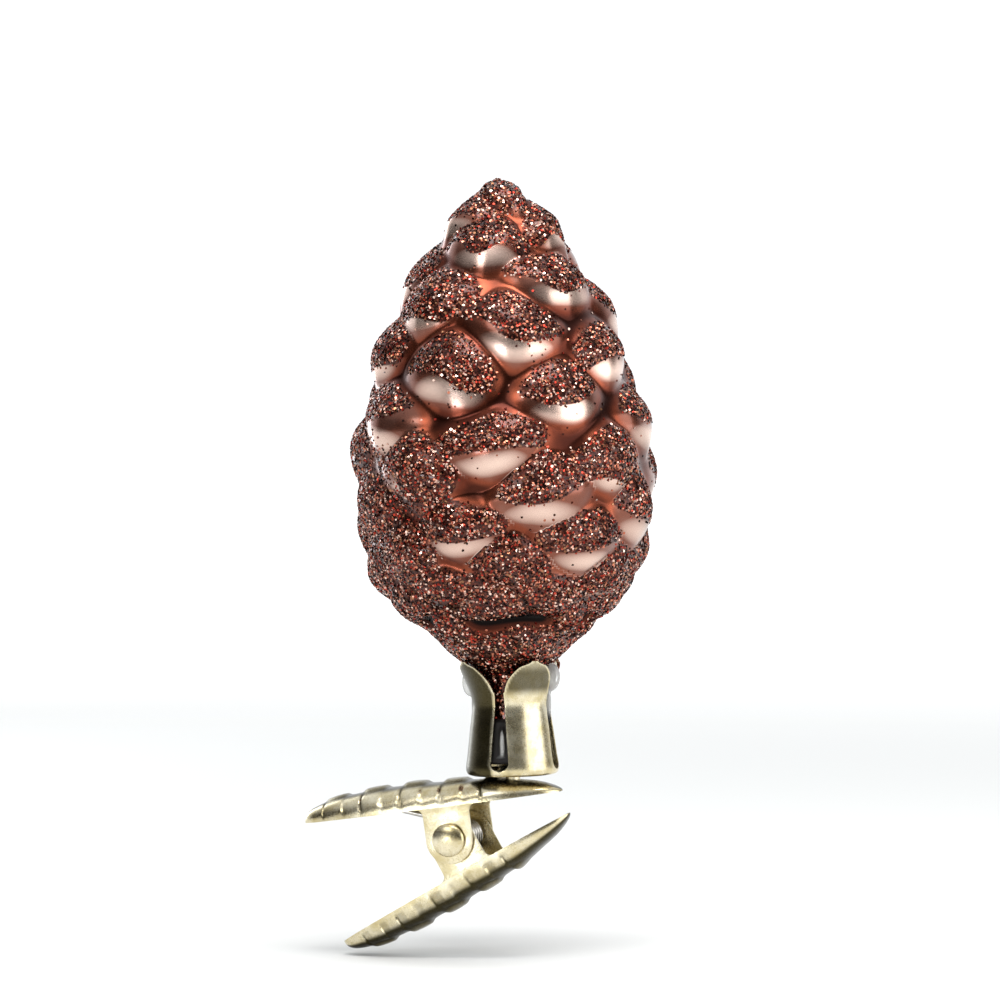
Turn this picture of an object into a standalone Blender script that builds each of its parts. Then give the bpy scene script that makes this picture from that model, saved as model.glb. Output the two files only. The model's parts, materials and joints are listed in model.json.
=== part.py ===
"""A glass pine cone ornament that stands on a sprung clip for a Christmas tree's branch.

The cone is a hollow shell of blown glass with its scales raised on it. Hot-melt glue holds its neck
in a four-pronged brass cup, and a rivet holds the cup on the upper jaw of a stamped brass clip. The
lower jaw turns on a rivet through the ears of both jaws, and a torsion spring between the ears
pushes the two handles apart.

Frame: the origin is the middle of the bite, where the branch lies between the jaws. +X runs from
the handles to the noses of the jaws, Y is along the rivet that they turn on, and +Z is up. Lengths
are in metres, written as millimetres times MM.
"""

import math

import bmesh
import bpy
import numpy as np
from mathutils import Matrix, Vector

MM = 0.001
GAP = 0.3 * MM  # between pieces that touch on the real object

# The clip. A jaw has a frame of its own: u runs along it from the pivot to the nose, y across it,
# and v from the pivot out to its back.
PIVOT = Vector((-12.0, 0.0, -4.1)) * MM
HANDLE_U = -26.2 * MM
NOSE_U = 18.6 * MM
RIM_V = 5.5 * MM  # from the pivot to the plane of the jaw's rim
UPPER_SLOPE = math.radians(8.2)  # how far the upper jaw's u axis rises towards +X
LOWER_SLOPE = math.radians(29.9)
SHEET = 0.5 * MM
JAW_HALF_WIDTH = 6.0 * MM
JAW_STRAIGHT = 5.5 * MM  # half the length of the stretch beside the ears where the sides are parallel
CREST = 4.1 * MM  # the jaw's back over its rim
CREST_TAPER = 12.0  # share of the height lost for each metre towards the nose
LOBE_PITCH = 7.0 * MM
LOBE_HEIGHT = 0.35 * MM
JAW_STATIONS = 30
JAW_ACROSS = 10

# The ears are round about the pivot. The lower jaw is narrower, and its ears turn between the upper's.
EAR_RADIUS = 4.0 * MM
EAR_FILLET = 1.2 * MM
EAR_SHEET = 0.4 * MM
NEST = SHEET + GAP  # how much narrower the lower jaw is on each side

PIN_RADIUS = 1.0 * MM
HEAD_RADIUS = 2.75 * MM
HEAD_HEIGHT = 1.2 * MM

WIRE = 0.9 * MM
COIL_RADIUS = 2.6 * MM
COIL_TURNS = 5
COIL_PITCH = 1.15 * MM
COIL_STEPS = 10
LEG_REACH = -14.0 * MM  # where along the handle a leg presses

# The cup stands on the upper jaw. Its heights are over the underside of its floor.
CUP_X = 9.1 * MM  # from the pivot
LEAN = math.radians(1.5)  # the cup and the cone lean back over the handles
CUP_PROFILE = [(8.75, 18.9), (8.25, 17.5), (7.45, 15.6), (6.75, 13.8), (6.38, 12.0), (6.5, 10.2),
               (6.85, 7.6), (7.34, 3.6), (7.65, 1.2), (7.35, 0.3), (6.6, 0.0)]  # radius, height, in mm
CUP_SIDES = 28
SLIT_EDGE = [(1.0, 1.2), (1.5, 1.9), (1.5, 3.0), (0.8, 12.6), (1.0, 14.0), (1.35, 15.0), (1.9, 16.0),
             (2.8, 17.0), (4.0, 18.0), (5.7, 18.8), (6.2, 20.5)]  # half width, height, in mm
CUP_RIVET_SHANK = 1.2 * MM
RIVET_TAIL_RADIUS = 2.0 * MM

# The glass. Radius and height over the cup's floor, in mm, from the open neck to the top.
GLASS_PROFILE = [(4.4, 6.0), (4.4, 13.5), (5.2, 16.6), (8.4, 19.5), (12.8, 23.4), (18.6, 29.4),
                 (22.0, 35.3), (24.0, 45.0), (23.7, 56.0), (21.3, 64.0), (19.2, 72.0), (15.4, 80.0),
                 (10.0, 88.0), (7.0, 93.4), (3.6, 96.6), (0.0, 98.0)]
WALL = 0.8 * MM
GLASS_SIDES = 64
GLASS_ROWS = 38

# The scales wind round the cone by the golden angle, each higher than the last.
SCALE_FIRST, SCALE_LAST = -22, 47
GOLDEN_ANGLE = math.radians(137.5)
SCALE_ZERO_ANGLE = math.radians(-71.0)  # of scale 0, round Z from +X
SCALE_ZERO_HEIGHT = 35.2 * MM
SCALE_RISE = 0.7735 * MM  # from scale 0 to scale 1
SCALE_RISE_GAIN = 0.01093 * MM  # by which the rise grows
SCALE_HALF_WIDTH = 10.2 * MM  # where it would end if no neighbour cut it off
SCALE_HALF_HEIGHT = 7.0 * MM
SCALE_CROWN = 1.3 * MM
SCALE_DEPTH = 2.9 * MM  # from a scale's crown to that end
SCALE_TILT = 0.5 * MM  # how much further its lower edge stands out
GROOVE = -1.9 * MM


def new_collection(name):
    collection = bpy.data.collections.new(name)
    bpy.context.scene.collection.children.link(collection)
    return collection


def material(name, colour, roughness, metallic=0.0, transmission=0.0):
    mat = bpy.data.materials.new(name)
    mat.use_nodes = True
    shader = mat.node_tree.nodes["Principled BSDF"]
    shader.inputs["Base Color"].default_value = (*colour, 1.0)
    shader.inputs["Roughness"].default_value = roughness
    shader.inputs["Metallic"].default_value = metallic
    shader.inputs["Transmission Weight"].default_value = transmission
    mat.diffuse_color = (*colour, 1.0)
    return mat


def add_object(name, data, collection, mat=None, parent=None):
    ob = bpy.data.objects.new(name, data)
    collection.objects.link(ob)
    if mat is not None:
        data.materials.append(mat)
    ob.parent = parent
    return ob


def add_empty(name, collection, location, rotation=(0.0, 0.0, 0.0)):
    empty = bpy.data.objects.new(name, None)
    empty.location = location
    empty.rotation_euler = rotation
    empty.empty_display_size = 5.0 * MM
    collection.objects.link(empty)
    return empty


def as_guide(ob):
    """A cutter or a piece that a Boolean joins on: it isn't a part of its own."""
    ob.hide_render = True
    ob.display_type = "WIRE"
    return ob


def mesh_from(name, bm):
    mesh = bpy.data.meshes.new(name)
    bm.to_mesh(mesh)
    bm.free()
    return mesh


def smooth(mesh, angle=35.0):
    mesh.shade_smooth()
    mesh.set_sharp_from_angle(angle=math.radians(angle))


def add_boolean(ob, other, operation):
    boolean = ob.modifiers.new(other.name, "BOOLEAN")
    boolean.operation = operation
    boolean.object = other
    boolean.solver = "EXACT"


def add_solidify(ob, thickness):
    """Thickens an open surface towards its inner side."""
    solidify = ob.modifiers.new("sheet", "SOLIDIFY")
    solidify.thickness = thickness
    solidify.offset = -1.0


def turned(name, profile, sides):
    """A mesh turned round Z from (radius, height) points, from the top down the outer side."""
    bm = bmesh.new()
    verts = [bm.verts.new((radius, 0.0, height)) for radius, height in profile]
    for upper, lower in zip(verts, verts[1:]):
        bm.edges.new((upper, lower))
    source = bpy.data.objects.new("profile", mesh_from("profile", bm))
    bpy.context.scene.collection.objects.link(source)
    screw = source.modifiers.new("turn", "SCREW")
    screw.steps = sides
    screw.render_steps = sides
    screw.use_merge_vertices = True
    screw.merge_threshold = 0.01 * MM
    mesh = bpy.data.meshes.new_from_object(source.evaluated_get(bpy.context.evaluated_depsgraph_get()))
    mesh.name = name
    bpy.data.objects.remove(source)
    return mesh


def grid_faces(bm, rows, wrap):
    """Quads between rows of vertices, each row as long as the next. A wrapped row closes on itself."""
    for low, high in zip(rows, rows[1:]):
        count = len(low)
        for i in range(count if wrap else count - 1):
            j = (i + 1) % count
            bm.faces.new((low[i], low[j], high[j], high[i]))


def leaf(u, handle_power, nose_power):
    """From 1 beside the ears to 0 at the jaw's two ends, along a superellipse to each."""
    past = max(abs(u) - JAW_STRAIGHT, 0.0)
    reach = (NOSE_U if u > 0.0 else -HANDLE_U) - JAW_STRAIGHT
    power = nose_power if u > 0.0 else handle_power
    return max(1.0 - min(past / reach, 1.0) ** power, 0.0) ** (1.0 / power)


def jaw_width(u, half_width):
    return half_width * leaf(u, 2.4, 1.8)


def jaw_crest(u):
    """The height of the jaw's back over its rim, without the lobes."""
    taper = 1.0 - CREST_TAPER * max(u + 6.0 * MM, 0.0)
    return CREST * leaf(u, 2.6, 1.7) * taper


def jaw_lobe(u):
    """The raised lobes along the back, like small scales."""
    return LOBE_HEIGHT * math.cos(math.pi * (u - 1.0 * MM) / LOBE_PITCH) ** 2 * leaf(u, 2.6, 1.7)


def jaw_shell(half_width):
    """The jaw's outer surface: a leaf-shaped bowl that is open towards the pivot."""
    bm = bmesh.new()
    rows = []
    for station in range(JAW_STATIONS + 1):
        s = station / JAW_STATIONS
        u = HANDLE_U + (NOSE_U - HANDLE_U) * (s - 0.6 * math.sin(2 * math.pi * s) / (2 * math.pi))
        width, crest = jaw_width(u, half_width), jaw_crest(u)
        row = []
        for step in range(JAW_ACROSS + 1):
            angle = math.pi * step / JAW_ACROSS
            side = math.copysign(abs(math.cos(angle)) ** (2 / 2.6), math.cos(angle))
            rise = max(math.sin(angle), 0.0) ** (2 / 2.6)
            row.append(bm.verts.new((u, width * side, RIM_V + (crest + jaw_lobe(u)) * rise)))
        rows.append(row)
    grid_faces(bm, rows, wrap=False)
    bmesh.ops.remove_doubles(bm, verts=bm.verts, dist=0.01 * MM)
    return mesh_from("jaw_shell", bm)


def arc(centre, radius, start, end, steps):
    """Points on a circle, from one angle to another, in degrees."""
    angles = [math.radians(start + (end - start) * i / steps) for i in range(steps + 1)]
    return [(centre[0] + radius * math.cos(a), centre[1] + radius * math.sin(a)) for a in angles]


def add_outline(curve, points):
    spline = curve.splines.new("POLY")
    spline.points.add(len(points) - 1)
    for point, (x, y) in zip(spline.points, points):
        point.co = (x, y, 0.0, 1.0)
    spline.use_cyclic_u = True


def plate_mesh(name, outlines, thickness):
    """A flat plate in the XY plane. The first outline is its edge and the others are holes."""
    curve = bpy.data.curves.new(name, "CURVE")
    curve.dimensions = "2D"
    curve.fill_mode = "BOTH"
    curve.extrude = thickness / 2
    for points in outlines:
        add_outline(curve, points)
    ob = bpy.data.objects.new(name, curve)
    bpy.context.scene.collection.objects.link(ob)
    mesh = bpy.data.meshes.new_from_object(ob.evaluated_get(bpy.context.evaluated_depsgraph_get()))
    bpy.data.objects.remove(ob)
    bm = bmesh.new()
    bm.from_mesh(mesh)
    bmesh.ops.remove_doubles(bm, verts=bm.verts, dist=0.01 * MM)
    bmesh.ops.recalc_face_normals(bm, faces=bm.faces)
    bm.to_mesh(mesh)
    bm.free()
    return mesh


def ear_mesh():
    """One ear, flat in its own XY plane, where X is u and Y is v. Its top is sunk in the jaw's side."""
    root = EAR_RADIUS + EAR_FILLET
    fillet_v = RIM_V - EAR_FILLET
    top = RIM_V + 0.7 * MM
    edge = [(-root, top)]
    edge += arc((-root, fillet_v), EAR_FILLET, 90.0, 0.0, 3)
    edge += arc((0.0, 0.0), EAR_RADIUS, 180.0, 360.0, 14)
    edge += arc((root, fillet_v), EAR_FILLET, 180.0, 90.0, 3)
    edge.append((root, top))
    hole = arc((0.0, 0.0), PIN_RADIUS + GAP, 0.0, 360.0 * 15 / 16, 15)
    return plate_mesh("ear", [edge, hole], EAR_SHEET)


def make_jaw(name, half_width, rotation, parts, guides, mat, shared_ear):
    """A stamped jaw with an ear on each side, in the frame that u, y and v give."""
    jaw = add_object(name, jaw_shell(half_width), parts, mat)
    jaw.location = PIVOT
    jaw.rotation_euler = rotation
    add_solidify(jaw, SHEET)
    for label, side in (("left", 1.0), ("right", -1.0)):
        ear = as_guide(add_object(f"{name}_{label}_ear", shared_ear, guides, parent=jaw))
        ear.rotation_euler = (math.radians(90.0), 0.0, 0.0)
        ear.location = (0.0, side * (half_width - SHEET / 2), 0.0)
        add_boolean(jaw, ear, "UNION")
    smooth(jaw.data)
    return jaw


def dome(radius, height, base, steps=4):
    """The (radius, height) points of a rivet's domed head, from its top down to its edge."""
    angles = [math.radians(90.0 * i / steps) for i in range(steps + 1)]
    return [(radius * math.sin(a), base + height * math.cos(a)) for a in angles]


def make_pivot_rivet(parts, mat):
    """The pin that both jaws turn on, headed over outside the upper jaw's ears."""
    face = JAW_HALF_WIDTH - SHEET / 2 + EAR_SHEET / 2 + GAP
    upper = dome(HEAD_RADIUS, HEAD_HEIGHT, face)
    lower = [(radius, -height) for radius, height in reversed(upper)]
    profile = upper + [(PIN_RADIUS, face), (PIN_RADIUS, -face)] + lower
    rivet = add_object("pivot_rivet", turned("pivot_rivet", profile, 20), parts, mat)
    rivet.location = PIVOT
    rivet.rotation_euler = (math.radians(90.0), 0.0, 0.0)
    smooth(rivet.data)
    return rivet


def from_jaw(u, v, slope, back):
    """A point of a jaw's middle plane, as X and Z from the pivot. back is 1 for the upper jaw."""
    x = u * math.cos(slope) - back * v * math.sin(slope)
    z = u * math.sin(slope) + back * v * math.cos(slope)
    return x, z


def spring_points():
    """The wire's middle line from the pivot: a leg, the coil's turns round Y, and the other leg."""
    leg_v = RIM_V + jaw_crest(LEG_REACH) - SHEET - WIRE / 2 - 2.4 * GAP
    upper_end = from_jaw(LEG_REACH, leg_v, UPPER_SLOPE, 1.0)
    lower_end = from_jaw(LEG_REACH, leg_v, LOWER_SLOPE, -1.0)
    start = tangent_angle(upper_end, -1.0)
    sweep = 2 * math.pi * COIL_TURNS + (start - tangent_angle(lower_end, 1.0)) % (2 * math.pi)
    steps = math.ceil(sweep / (2 * math.pi) * COIL_STEPS)
    width = COIL_PITCH * sweep / (2 * math.pi)
    points = [Vector((upper_end[0], -width / 2, upper_end[1]))]
    for step in range(steps + 1):
        angle = start - sweep * step / steps
        y = width * (step / steps - 0.5)
        points.append(Vector((COIL_RADIUS * math.cos(angle), y, COIL_RADIUS * math.sin(angle))))
    points.append(Vector((lower_end[0], width / 2, lower_end[1])))
    return points


def tangent_angle(point, turn):
    """The angle on the coil's circle where a straight leg to the point leaves it."""
    distance = math.hypot(*point)
    return math.atan2(point[1], point[0]) + turn * math.acos(COIL_RADIUS / distance)


def make_spring(parts, mat):
    curve = bpy.data.curves.new("spring", "CURVE")
    curve.dimensions = "3D"
    curve.bevel_depth = WIRE / 2
    curve.bevel_resolution = 2
    curve.use_fill_caps = True
    points = spring_points()
    spline = curve.splines.new("POLY")
    spline.points.add(len(points) - 1)
    for point, place in zip(spline.points, points):
        point.co = (*place, 1.0)
    spring = add_object("spring", curve, parts, mat)
    spring.location = PIVOT
    return spring


def jaw_top(x):
    """The height of the upper jaw's back over the pivot, at x from it."""
    tries = [NOSE_U * i / 200 for i in range(201)]
    places = [from_jaw(u, RIM_V + jaw_crest(u) + jaw_lobe(u), UPPER_SLOPE, 1.0) for u in tries]
    return float(np.interp(x, [place[0] for place in places], [place[1] for place in places]))


def cup_floor_height():
    """The lowest place over the pivot where the leaning cup's floor clears the jaw's back."""
    reach = CUP_PROFILE[-1][0] * MM
    offsets = [reach * i / 10 for i in range(-10, 11)]
    return max(jaw_top(CUP_X + x) - x * math.tan(LEAN) for x in offsets) + GAP


def in_metres(points):
    return [(a * MM, b * MM) for a, b in points]


def slit_cutter(name, guides, parent, turn):
    """A slot through both walls of the cup, round at its foot and opened out over the prongs' tips."""
    edge = in_metres(SLIT_EDGE)
    foot = [(0.0, edge[0][1] - 0.35 * MM)]
    outline = [(-x, z) for x, z in reversed(edge)] + foot + edge
    cutter = add_object(name, plate_mesh(name, [outline], 24.0 * MM), guides, parent=parent)
    cutter.rotation_euler = (math.radians(90.0), 0.0, turn)
    return as_guide(cutter)


def make_cup(parts, guides, parent, mat):
    """The turned cup, slit into four prongs whose tips are rounded and flare outwards."""
    profile = in_metres(CUP_PROFILE) + [(CUP_RIVET_SHANK + GAP, 0.0)]
    cup = add_object("holder_cup", turned("holder_cup", profile, CUP_SIDES), parts, mat, parent)
    add_solidify(cup, SHEET)
    for name, turn in (("slit_across", 0.0), ("slit_along", math.radians(90.0))):
        add_boolean(cup, slit_cutter(name, guides, parent, turn), "DIFFERENCE")
    smooth(cup.data)
    return cup


def make_cup_rivet(parts, guides, parent, upper_jaw, mat):
    """The rivet through the cup's floor and the upper jaw's back, with the hole that it needs."""
    edges = (CUP_X - RIVET_TAIL_RADIUS, CUP_X + RIVET_TAIL_RADIUS)
    tail = min(jaw_top(x) for x in edges) - cup_floor_height() - SHEET - 1.8 * GAP
    head = dome(2.4 * MM, 0.8 * MM, SHEET + GAP, 3)
    foot = [(RIVET_TAIL_RADIUS, tail), (1.7 * MM, tail - 0.6 * MM), (0.0, tail - 0.7 * MM)]
    profile = head + [(CUP_RIVET_SHANK, SHEET + GAP), (CUP_RIVET_SHANK, tail)] + foot
    rivet = add_object("cup_rivet", turned("cup_rivet", profile, 20), parts, mat, parent)
    smooth(rivet.data)
    bore = CUP_RIVET_SHANK + GAP
    outline = [(0.0, 0.3 * MM), (bore, 0.3 * MM), (bore, -4.0 * MM), (0.0, -4.0 * MM)]
    hole = as_guide(add_object("rivet_hole", turned("rivet_hole", outline, 20), guides, parent=parent))
    add_boolean(upper_jaw, hole, "DIFFERENCE")
    return rivet


def smooth_curve(points, steps):
    """A Catmull-Rom curve through the points, with an even number of steps in each stretch."""
    ends = [2 * np.array(points[0]) - points[1], 2 * np.array(points[-1]) - points[-2]]
    pts = np.array([ends[0], *points, ends[1]])
    out = []
    for a, b, c, d in zip(pts, pts[1:], pts[2:], pts[3:]):
        for step in range(steps):
            t = step / steps
            out.append(b + 0.5 * t * (c - a + t * (2 * a - 5 * b + 4 * c - d + t * (3 * (b - c) + d - a))))
    out.append(pts[-2])
    return np.array(out)


def glass_line():
    """Radius, height and length along the glass's profile, in metres, from the neck up."""
    line = smooth_curve(in_metres(GLASS_PROFILE), 12)
    steps = np.hypot(*np.diff(line, axis=0).T)
    return line[:, 0], line[:, 1], np.concatenate([[0.0], np.cumsum(steps)])


def scale_places(radii, heights, lengths):
    """Each scale's angle, its place along the profile and its size beside a scale of the middle."""
    k = np.arange(SCALE_FIRST, SCALE_LAST + 1)
    height = SCALE_ZERO_HEIGHT + SCALE_RISE * k + SCALE_RISE_GAIN * k * k
    place = np.interp(height, heights, lengths)
    rise = np.gradient(place)
    room = rise * np.interp(height, heights, radii)
    size = np.clip(np.sqrt(room / np.median(room)), 0.55, 1.1)
    return SCALE_ZERO_ANGLE - GOLDEN_ANGLE * k, place, size


def scale_relief(angle, length, radius, scales):
    """How far the scales stand out at a point, as the highest of them there. Each is a cushion
    between an ellipse and a rhombus in outline, so they meet in narrow slanted grooves."""
    relief = np.full(np.shape(angle), GROOVE)
    for scale_angle, place, size in zip(*scales):
        turn = (angle - scale_angle + math.pi) % (2 * math.pi) - math.pi
        across = radius * turn / (SCALE_HALF_WIDTH * size)
        along = (length - place) / (SCALE_HALF_HEIGHT * size)
        corner = np.sqrt(across ** 2 + 0.004) + np.sqrt(along ** 2 + 0.04)
        reach = 0.5 * np.hypot(across, along) + 0.5 * corner
        fall = SCALE_DEPTH * size * (0.25 * reach + 0.75 * reach ** 2)
        relief = np.maximum(relief, SCALE_CROWN - fall - SCALE_TILT * size * along)
    return relief


def make_glass(parts, parent, mat):
    """The blown shell: a turned grid pushed out along its profile's normal by the scales."""
    radii, heights, lengths = glass_line()
    scales = scale_places(radii, heights, lengths)
    neck = np.array([0.0, 0.065, 0.1])
    body = np.linspace(0.125, 1.0, GLASS_ROWS - len(neck) + 1)
    rows_at = np.concatenate([neck, body]) * lengths[-1]
    angles = np.arange(GLASS_SIDES) * 2 * math.pi / GLASS_SIDES
    bm = bmesh.new()
    rows = []
    for length in rows_at[:-1]:
        radius = np.interp(length, lengths, radii)
        height = np.interp(length, lengths, heights)
        ahead = min(length + 0.5 * MM, lengths[-1])
        behind = max(length - 0.5 * MM, 0.0)
        slope = math.atan2(np.interp(ahead, lengths, radii) - np.interp(behind, lengths, radii),
                           np.interp(ahead, lengths, heights) - np.interp(behind, lengths, heights))
        rise = np.clip((height - 20.0 * MM) / (5.0 * MM), 0.0, 1.0)
        fall = np.clip((lengths[-1] - length) / (9.0 * MM), 0.0, 1.0)
        relief = rise * fall * scale_relief(angles, length, radius, scales)
        out = radius + relief * math.cos(slope)
        up = height - relief * math.sin(slope)
        rows.append([bm.verts.new(co) for co in zip(out * np.cos(angles), out * np.sin(angles), up)])
    grid_faces(bm, rows, wrap=True)
    top = bm.verts.new((0.0, 0.0, heights[-1] + 0.3 * MM))
    for i, vert in enumerate(rows[-1]):
        bm.faces.new((vert, rows[-1][(i + 1) % GLASS_SIDES], top))
    glass = add_object("glass_cone", mesh_from("glass_cone", bm), parts, mat, parent)
    add_solidify(glass, WALL)
    smooth(glass.data, 60.0)
    return glass


def make_glue(parts, guides, parent, mat):
    """Hot-melt glue: a plug round and inside the glass's neck, squeezed out at two of the slits."""
    plug = in_metres([(0.0, 8.8), (3.25, 8.5), (3.25, 5.65), (4.75, 5.65), (4.75, 9.5), (5.85, 9.0),
                      (6.1, 7.4), (6.45, 4.0), (6.7, 2.4), (6.3, 2.1), (0.0, 2.1)])
    glue = add_object("glue", turned("glue", plug, 20), parts, mat, parent)
    for name, side, top in (("front", 1.0, 16.0), ("back", -1.0, 15.2)):
        bm = bmesh.new()
        run = Matrix.Diagonal((1.5 * MM, 1.0 * MM, 7.0 * MM, 1.0))
        bmesh.ops.create_cube(bm, matrix=Matrix.Translation(Vector((5.55 * side, 0.0, 10.9)) * MM) @ run)
        strip = add_object(f"glue_run_{name}", mesh_from("glue_run", bm), guides, parent=parent)
        add_boolean(glue, as_guide(strip), "UNION")
        bm = bmesh.new()
        egg = Matrix.Diagonal((1.75 * MM, 0.95 * MM, 2.5 * MM, 1.0))
        place = Matrix.Translation(Vector((6.6 * side, 0.0, top)) * MM)
        bmesh.ops.create_uvsphere(bm, u_segments=14, v_segments=9, radius=1.0, matrix=place @ egg)
        blob = add_object(f"glue_blob_{name}", mesh_from("glue_blob", bm), guides, parent=parent)
        add_boolean(glue, as_guide(blob), "UNION")
    radii, heights, _ = glass_line()
    shoulder = [(radius + 0.4 * MM, height - 0.1 * MM) for radius, height in zip(radii, heights)
                if 9.8 * MM < height < 24.0 * MM][::3]
    outline = [(0.0, 25.0 * MM), (shoulder[-1][0], 25.0 * MM), *reversed(shoulder), (0.0, 9.8 * MM)]
    room = add_object("neck_room", turned("neck_room", outline, 32), guides, parent=parent)
    add_boolean(glue, as_guide(room), "DIFFERENCE")
    smooth(glue.data)
    return glue


def main():
    for ob in list(bpy.data.objects):
        bpy.data.objects.remove(ob)
    parts = new_collection("pine_cone_clip_ornament")
    guides = new_collection("cutters")

    lacquer = material("copper_brown_glass", (0.115, 0.032, 0.018), 0.3, 0.7)
    brass = material("champagne_brass", (0.72, 0.66, 0.47), 0.28, 1.0)
    steel = material("spring_steel", (0.62, 0.62, 0.6), 0.3, 1.0)
    clear_glue = material("clear_glue", (0.8, 0.8, 0.78), 0.35, 0.0, 0.6)

    ear = ear_mesh()
    upper_jaw = make_jaw("upper_jaw", JAW_HALF_WIDTH, (0.0, -UPPER_SLOPE, 0.0), parts, guides, brass, ear)
    make_jaw("lower_jaw", JAW_HALF_WIDTH - NEST, (math.pi, -LOWER_SLOPE, 0.0), parts, guides, brass, ear)
    make_pivot_rivet(parts, brass)
    make_spring(parts, steel)

    base = PIVOT + Vector((CUP_X, 0.0, cup_floor_height()))
    cup_base = add_empty("cup_base", parts, base, (0.0, -LEAN, 0.0))
    make_cup(parts, guides, cup_base, brass)
    make_cup_rivet(parts, guides, cup_base, upper_jaw, brass)
    make_glass(parts, cup_base, lacquer)
    make_glue(parts, guides, cup_base, clear_glue)


main()
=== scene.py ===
# %% [markdown]
# # A glass pine cone on a sprung clip
#
# This lesson dresses a Christmas tree ornament: a cone of blown glass with glitter on its scales,
# glued in a brass cup on a stamped clip. The plain solids are loaded first as a fixed frame, in
# metres with +Z up. Each step then gives one piece its fine shape or its finish.

# %% Load the frame
import json
import math

import bmesh
import bpy
import numpy as np
from mathutils import Matrix, Vector


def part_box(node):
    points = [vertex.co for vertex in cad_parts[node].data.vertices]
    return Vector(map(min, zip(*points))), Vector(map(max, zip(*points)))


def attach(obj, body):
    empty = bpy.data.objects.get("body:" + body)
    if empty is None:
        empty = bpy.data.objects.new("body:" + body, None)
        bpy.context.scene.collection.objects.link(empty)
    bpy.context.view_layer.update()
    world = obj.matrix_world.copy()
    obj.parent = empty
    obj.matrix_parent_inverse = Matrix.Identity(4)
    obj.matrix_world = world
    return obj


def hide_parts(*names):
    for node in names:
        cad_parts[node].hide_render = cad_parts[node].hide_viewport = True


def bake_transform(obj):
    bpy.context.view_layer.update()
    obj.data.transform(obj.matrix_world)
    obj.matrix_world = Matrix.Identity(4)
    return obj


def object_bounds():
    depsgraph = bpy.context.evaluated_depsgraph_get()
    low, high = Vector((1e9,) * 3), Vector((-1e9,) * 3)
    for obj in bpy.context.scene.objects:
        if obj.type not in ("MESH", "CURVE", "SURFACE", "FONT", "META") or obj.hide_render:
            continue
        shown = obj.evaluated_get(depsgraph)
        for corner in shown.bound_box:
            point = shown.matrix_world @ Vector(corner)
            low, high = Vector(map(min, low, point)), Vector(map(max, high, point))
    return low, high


MM = 0.001
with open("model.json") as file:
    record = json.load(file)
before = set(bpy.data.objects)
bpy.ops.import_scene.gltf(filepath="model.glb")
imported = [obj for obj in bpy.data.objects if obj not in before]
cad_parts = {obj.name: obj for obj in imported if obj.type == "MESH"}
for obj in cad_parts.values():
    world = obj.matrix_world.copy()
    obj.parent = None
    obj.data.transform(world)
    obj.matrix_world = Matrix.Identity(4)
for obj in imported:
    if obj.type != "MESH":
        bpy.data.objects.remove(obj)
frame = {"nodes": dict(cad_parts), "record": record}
solid_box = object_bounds()
hinge = frame["record"]["behaviour"]["joints"][0]
PIVOT = Vector(hinge["pos_m"])


def put_in_scene(name, data):
    """A new object in the scene that shows the data."""
    ob = bpy.data.objects.new(name, data)
    bpy.context.scene.collection.objects.link(ob)
    return ob


print("solid box, mm:", [round(c / MM, 1) for corner in solid_box for c in corner])
print("pivot, mm:", [round(c / MM, 1) for c in PIVOT])

# %% [markdown]
# A photographer looks at a small ornament through a long lens, so that its top and its foot are
# seen alike. The camera stands a little to the nose side of the clip and a little above the middle
# of the ornament. Its aim is found from the pivot, which lies low and to the left in the picture.

# %% The camera
CAMERA_AZIMUTH = math.radians(17.0)
CAMERA_ELEVATION = math.radians(1.5)
CAMERA_DISTANCE = 0.9
PICTURE_WIDTH = 165.0 * MM  # what the frame spans at the ornament
SENSOR = 36.0  # in mm, as Blender counts lenses
PIVOT_IN_PICTURE = (460.0, 837.0)  # in a frame of 1000 by 1000
PICTURE_SIZE = 1000.0

pixel = PICTURE_WIDTH / PICTURE_SIZE
back = Vector((math.sin(CAMERA_AZIMUTH) * math.cos(CAMERA_ELEVATION),
               -math.cos(CAMERA_AZIMUTH) * math.cos(CAMERA_ELEVATION),
               math.sin(CAMERA_ELEVATION)))
right = Vector((math.cos(CAMERA_AZIMUTH), math.sin(CAMERA_AZIMUTH), 0.0))
up = back.cross(right)
aim = (PIVOT + right * (PICTURE_SIZE / 2 - PIVOT_IN_PICTURE[0]) * pixel
       + up * (PIVOT_IN_PICTURE[1] - PICTURE_SIZE / 2) * pixel)

camera = put_in_scene("camera", bpy.data.cameras.new("camera"))
camera.data.sensor_width = SENSOR
camera.data.lens = SENSOR * CAMERA_DISTANCE / PICTURE_WIDTH
camera.location = aim + back * CAMERA_DISTANCE
camera.rotation_mode = "QUATERNION"
camera.rotation_quaternion = back.to_track_quat("Z", "Y")
camera.data.clip_start, camera.data.clip_end = 0.05, 20.0
bpy.context.scene.camera = camera
print("lens, mm:", round(camera.data.lens, 1), "aim, mm:", [round(c / MM, 1) for c in aim])


# %% [markdown]
# A finish is a node tree. Its sums are easier to read as Python, so a small class wraps a node's
# output and its operators add Math nodes. Every other node comes from one function, which takes the
# node's type, its settings and the values or links of its sockets.

# %% Helpers for finishes
def add_node(tree, kind, feeds, **settings):
    """Adds a node and feeds its sockets with values or with the outputs of other nodes."""
    node = tree.nodes.new(kind)
    for key, value in settings.items():
        setattr(node, key, value)
    for socket, value in feeds.items():
        value = getattr(value, "socket", value)  # an Output stands for its socket
        if isinstance(value, bpy.types.NodeSocket):
            tree.links.new(value, node.inputs[socket])
        else:
            node.inputs[socket].default_value = value
    return node.outputs


def operator(operation, swapped=False):
    """A method that adds a Math node for one of Python's operators."""
    def method(self, other):
        return self.math(operation, *((other, self) if swapped else (self, other)))
    return method


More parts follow.
